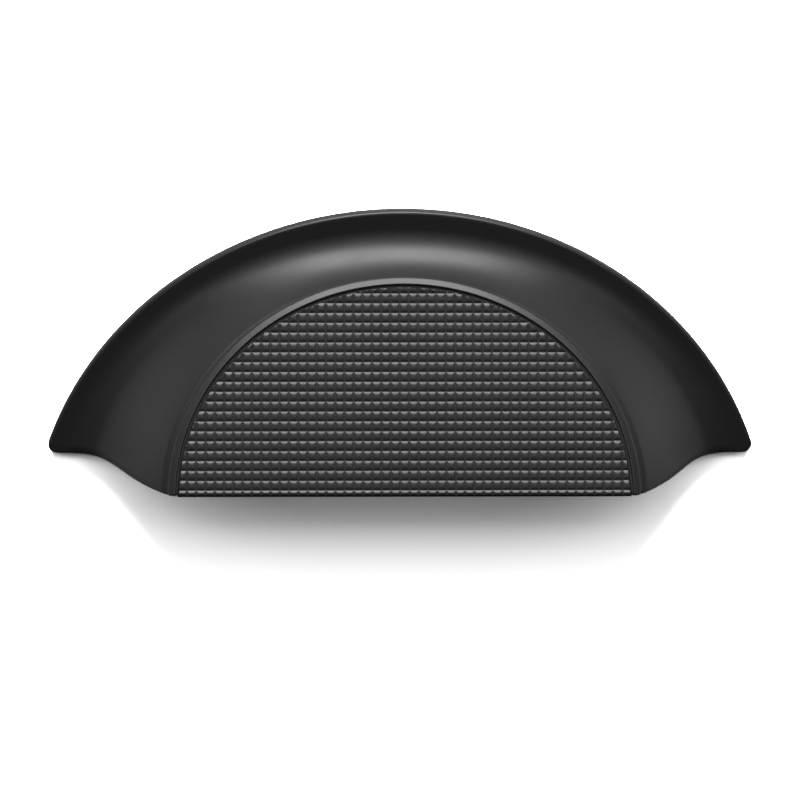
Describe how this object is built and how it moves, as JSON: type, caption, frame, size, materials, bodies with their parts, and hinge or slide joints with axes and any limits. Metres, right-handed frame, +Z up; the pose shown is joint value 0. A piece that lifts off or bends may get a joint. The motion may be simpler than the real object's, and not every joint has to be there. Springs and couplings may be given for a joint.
{
  "type": "cabinet cup handle",
  "caption": "Half-round cup handle for a drawer or cabinet door, with a swept wall, a leaning knurled grip face and blind screw bosses behind.",
  "frame": {"origin": "on the flat back plane, midway between the two screw holes", "axes": "+X along the handle, +Y out of the back face towards the cabinet, +Z up; the grip face looks towards -Y and the cup opens downward"},
  "size_m": [0.104, 0.0216, 0.037],
  "materials": {
    "black_powder_coat": "fine matte black powder coat on a zinc die casting"
  },
  "bodies": {
    "root": {"handle_casting": "black_powder_coat"}
  },
  "joints": []
}
